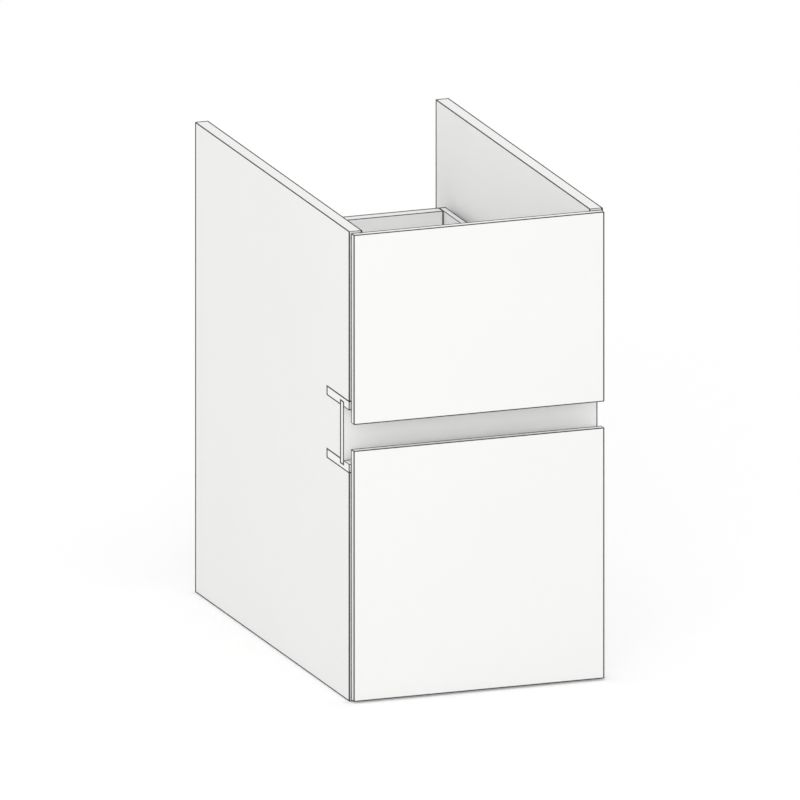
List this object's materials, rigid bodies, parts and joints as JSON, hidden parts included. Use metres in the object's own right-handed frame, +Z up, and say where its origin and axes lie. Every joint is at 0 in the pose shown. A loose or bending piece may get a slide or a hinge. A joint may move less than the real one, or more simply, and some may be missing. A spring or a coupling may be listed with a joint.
{
  "type": "vanity base cabinet",
  "caption": "Narrow wall-hung vanity base cabinet with stacked handle-less drawers, a recessed grip channel and an open top.",
  "frame": {"origin": "on the underside, below the middle of the overall width and depth", "axes": "+Z up, the drawer fronts face -Y and the wall is at +Y, +X to the right seen from the front"},
  "size_m": [0.3, 0.5102, 0.54],
  "materials": {
    "white_board": "melamine faced, matt",
    "front_lacquer": "satin lacquer",
    "white_steel": "powder coated",
    "zinc_steel": "zinc plated",
    "cage_nylon": "moulded nylon",
    "cam_alloy": "die cast",
    "beech_dowel": "turned, bare"
  },
  "bodies": {
    "carcass": {"side_panel_left": "white_board", "side_panel_right": "white_board", "bottom_panel": "white_board", "rear_rail_lower": "white_board", "rear_rail_upper": "white_board", "grip_rail_upper": "front_lacquer", "grip_rail_lower": "front_lacquer", "grip_web": "front_lacquer", "carcass_dowels": "beech_dowel", "cam_bolts": "zinc_steel", "cam_housings": "cam_alloy", "runner_screws": "zinc_steel", "cabinet_member_upper_left": "zinc_steel", "cabinet_member_upper_right": "zinc_steel", "cabinet_member_lower_left": "zinc_steel", "cabinet_member_lower_right": "zinc_steel"},
    "drawer_upper": {"drawer_front_upper": "front_lacquer", "drawer_back_upper": "white_board", "drawer_bottom_upper": "white_board", "front_bracket_screws_upper": "zinc_steel", "back_bracket_screws_upper": "zinc_steel", "bottom_screws_upper": "zinc_steel", "drawer_side_upper_left": "white_steel", "drawer_member_upper_left": "zinc_steel", "front_bracket_upper_left": "white_steel", "back_bracket_upper_left": "white_steel", "drawer_side_upper_right": "white_steel", "drawer_member_upper_right": "zinc_steel", "front_bracket_upper_right": "white_steel", "back_bracket_upper_right": "white_steel"},
    "middle_member_upper_left_body": {"middle_member_upper_left": "zinc_steel"},
    "inner_cage_upper_left_body": {"inner_cage_upper_left": "cage_nylon"},
    "outer_cage_upper_left_body": {"outer_cage_upper_left": "cage_nylon"},
    "middle_member_upper_right_body": {"middle_member_upper_right": "zinc_steel"},
    "inner_cage_upper_right_body": {"inner_cage_upper_right": "cage_nylon"},
    "outer_cage_upper_right_body": {"outer_cage_upper_right": "cage_nylon"},
    "drawer_lower": {"drawer_front_lower": "front_lacquer", "drawer_back_lower": "white_board", "drawer_bottom_lower": "white_board", "front_bracket_screws_lower": "zinc_steel", "back_bracket_screws_lower": "zinc_steel", "bottom_screws_lower": "zinc_steel", "drawer_side_lower_left": "white_steel", "drawer_member_lower_left": "zinc_steel", "front_bracket_lower_left": "white_steel", "back_bracket_lower_left": "white_steel", "drawer_side_lower_right": "white_steel", "drawer_member_lower_right": "zinc_steel", "front_bracket_lower_right": "white_steel", "back_bracket_lower_right": "white_steel"},
    "middle_member_lower_left_body": {"middle_member_lower_left": "zinc_steel"},
    "inner_cage_lower_left_body": {"inner_cage_lower_left": "cage_nylon"},
    "outer_cage_lower_left_body": {"outer_cage_lower_left": "cage_nylon"},
    "middle_member_lower_right_body": {"middle_member_lower_right": "zinc_steel"},
    "inner_cage_lower_right_body": {"inner_cage_lower_right": "cage_nylon"},
    "outer_cage_lower_right_body": {"outer_cage_lower_right": "cage_nylon"}
  },
  "joints": [
    {"name": "drawer_upper_slide", "type": "slide", "parent": "carcass", "child": "drawer_upper", "axis": [0, -1, 0], "range_m": [0, 0.44]},
    {"name": "middle_member_upper_left_slide", "type": "slide", "parent": "carcass", "child": "middle_member_upper_left_body", "axis": [0, -1, 0], "range_m": [0, 0.22]},
    {"name": "inner_cage_upper_left_slide", "type": "slide", "parent": "carcass", "child": "inner_cage_upper_left_body", "axis": [0, -1, 0], "range_m": [0, 0.11]},
    {"name": "outer_cage_upper_left_slide", "type": "slide", "parent": "carcass", "child": "outer_cage_upper_left_body", "axis": [0, -1, 0], "range_m": [0, 0.33]},
    {"name": "middle_member_upper_right_slide", "type": "slide", "parent": "carcass", "child": "middle_member_upper_right_body", "axis": [0, -1, 0], "range_m": [0, 0.22]},
    {"name": "inner_cage_upper_right_slide", "type": "slide", "parent": "carcass", "child": "inner_cage_upper_right_body", "axis": [0, -1, 0], "range_m": [0, 0.11]},
    {"name": "outer_cage_upper_right_slide", "type": "slide", "parent": "carcass", "child": "outer_cage_upper_right_body", "axis": [0, -1, 0], "range_m": [0, 0.33]},
    {"name": "drawer_lower_slide", "type": "slide", "parent": "carcass", "child": "drawer_lower", "axis": [0, -1, 0], "range_m": [0, 0.44]},
    {"name": "middle_member_lower_left_slide", "type": "slide", "parent": "carcass", "child": "middle_member_lower_left_body", "axis": [0, -1, 0], "range_m": [0, 0.22]},
    {"name": "inner_cage_lower_left_slide", "type": "slide", "parent": "carcass", "child": "inner_cage_lower_left_body", "axis": [0, -1, 0], "range_m": [0, 0.11]},
    {"name": "outer_cage_lower_left_slide", "type": "slide", "parent": "carcass", "child": "outer_cage_lower_left_body", "axis": [0, -1, 0], "range_m": [0, 0.33]},
    {"name": "middle_member_lower_right_slide", "type": "slide", "parent": "carcass", "child": "middle_member_lower_right_body", "axis": [0, -1, 0], "range_m": [0, 0.22]},
    {"name": "inner_cage_lower_right_slide", "type": "slide", "parent": "carcass", "child": "inner_cage_lower_right_body", "axis": [0, -1, 0], "range_m": [0, 0.11]},
    {"name": "outer_cage_lower_right_slide", "type": "slide", "parent": "carcass", "child": "outer_cage_lower_right_body", "axis": [0, -1, 0], "range_m": [0, 0.33]}
  ],
  "couplings": [
    {"joint": "middle_member_upper_left_slide", "follows": "drawer_upper_slide", "ratio": 0.5},
    {"joint": "inner_cage_upper_left_slide", "follows": "drawer_upper_slide", "ratio": 0.25},
    {"joint": "outer_cage_upper_left_slide", "follows": "drawer_upper_slide", "ratio": 0.75},
    {"joint": "middle_member_upper_right_slide", "follows": "drawer_upper_slide", "ratio": 0.5},
    {"joint": "inner_cage_upper_right_slide", "follows": "drawer_upper_slide", "ratio": 0.25},
    {"joint": "outer_cage_upper_right_slide", "follows": "drawer_upper_slide", "ratio": 0.75},
    {"joint": "middle_member_lower_left_slide", "follows": "drawer_lower_slide", "ratio": 0.5},
    {"joint": "inner_cage_lower_left_slide", "follows": "drawer_lower_slide", "ratio": 0.25},
    {"joint": "outer_cage_lower_left_slide", "follows": "drawer_lower_slide", "ratio": 0.75},
    {"joint": "middle_member_lower_right_slide", "follows": "drawer_lower_slide", "ratio": 0.5},
    {"joint": "inner_cage_lower_right_slide", "follows": "drawer_lower_slide", "ratio": 0.25},
    {"joint": "outer_cage_lower_right_slide", "follows": "drawer_lower_slide", "ratio": 0.75}
  ]
}
